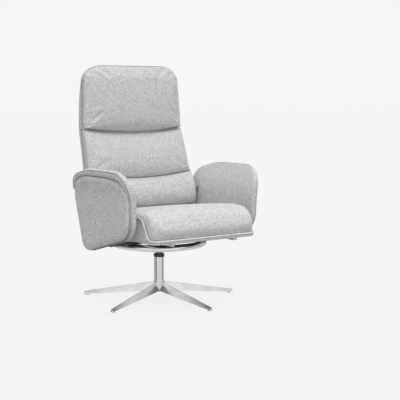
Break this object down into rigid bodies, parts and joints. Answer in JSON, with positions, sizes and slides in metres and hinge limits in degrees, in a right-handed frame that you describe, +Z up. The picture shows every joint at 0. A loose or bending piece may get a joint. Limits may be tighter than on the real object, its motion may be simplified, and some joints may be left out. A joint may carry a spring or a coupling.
{
  "type": "swivel recliner",
  "caption": "High-backed upholstered recliner with padded arms and a separate headrest section, turning on a polished star base.",
  "frame": {"origin": "middle of the outline on the floor, with the sitter facing -Y", "axes": "+Z up, +X the sitter's left, +Y behind the chair"},
  "size_m": [0.722, 0.7039, 1.073],
  "materials": {
    "star_base": "polished",
    "column": "polished",
    "chassis_ring": "polished",
    "spider": "satin",
    "black_plastic": "matte",
    "bearing_plastic": "matte",
    "spindle_steel": "satin",
    "zinc_steel": "zinc plated",
    "runner_steel": "satin",
    "black_steel": "powder coat",
    "plywood": "raw plywood",
    "elastic_webbing": "woven elastic",
    "underlining": "non-woven cloth",
    "upholstery_fabric": "heathered light grey weave",
    "piping_fabric": "covered cord"
  },
  "bodies": {
    "base": {"star_leg_1": "star_base", "star_leg_2": "star_base", "star_leg_3": "star_base", "star_leg_4": "star_base", "star_leg_5": "star_base", "leg_glides": "bearing_plastic", "base_hub": "star_base", "column_tube": "column", "thrust_washer": "bearing_plastic", "lower_bush": "bearing_plastic", "upper_bush": "bearing_plastic", "column_collar": "black_plastic"},
    "carriage": {"spindle": "spindle_steel", "spindle_clip": "zinc_steel", "chassis_ring": "chassis_ring", "spider": "spider", "cross_bar_front": "black_steel", "cross_bar_rear": "black_steel", "arm_bolts": "zinc_steel", "chassis_bolts": "zinc_steel", "glide_track_left": "zinc_steel", "glide_track_right": "zinc_steel", "pivot_bolts": "zinc_steel", "pivot_spacers": "zinc_steel", "arm_pad_left": "upholstery_fabric", "arm_pad_right": "upholstery_fabric", "arm_core_left": "plywood", "arm_core_right": "plywood", "arm_panel_left": "upholstery_fabric", "arm_panel_right": "upholstery_fabric"},
    "seat": {"seat_runner_left": "runner_steel", "seat_runner_right": "runner_steel", "seat_rail_front": "plywood", "seat_rail_rear": "plywood", "seat_rail_left": "plywood", "seat_rail_right": "plywood", "seat_webbing": "elastic_webbing", "seat_underlining": "underlining", "seat_side_left": "upholstery_fabric", "seat_side_right": "upholstery_fabric", "seat_fascia": "upholstery_fabric", "seat_cushion": "upholstery_fabric", "seat_piping": "piping_fabric"},
    "back": {"lumbar_cushion": "upholstery_fabric", "mid_cushion": "upholstery_fabric", "back_cover": "upholstery_fabric", "back_upright_left": "black_steel", "back_upright_right": "black_steel", "back_cross_lower": "black_steel", "back_cross_upper": "black_steel", "back_webbing": "elastic_webbing", "pivot_plates": "zinc_steel", "head_hinge_lower": "zinc_steel", "head_hinge_pins": "zinc_steel"},
    "headrest": {"head_cushion": "upholstery_fabric", "head_cover": "upholstery_fabric", "head_board": "plywood", "head_hinge_upper": "zinc_steel"}
  },
  "joints": [
    {"name": "swivel", "type": "hinge", "parent": "base", "child": "carriage", "pos_m": [0, 0.03, 0.2], "axis": [0, 0, 1], "continuous": true},
    {"name": "recline", "type": "hinge", "parent": "carriage", "child": "back", "pos_m": [0, 0.152, 0.5], "axis": [-1, 0, 0], "range_deg": [0, 28]},
    {"name": "seat_glide", "type": "slide", "parent": "carriage", "child": "seat", "axis": [0, -1, 0], "range_m": [0, 0.06]},
    {"name": "headrest_tilt", "type": "hinge", "parent": "back", "child": "headrest", "pos_m": [0, 0.258, 0.78], "axis": [1, 0, 0], "range_deg": [0, 20]}
  ],
  "couplings": [
    {"joint": "seat_glide", "follows": "recline", "m_per_rad": 0.1227}
  ]
}
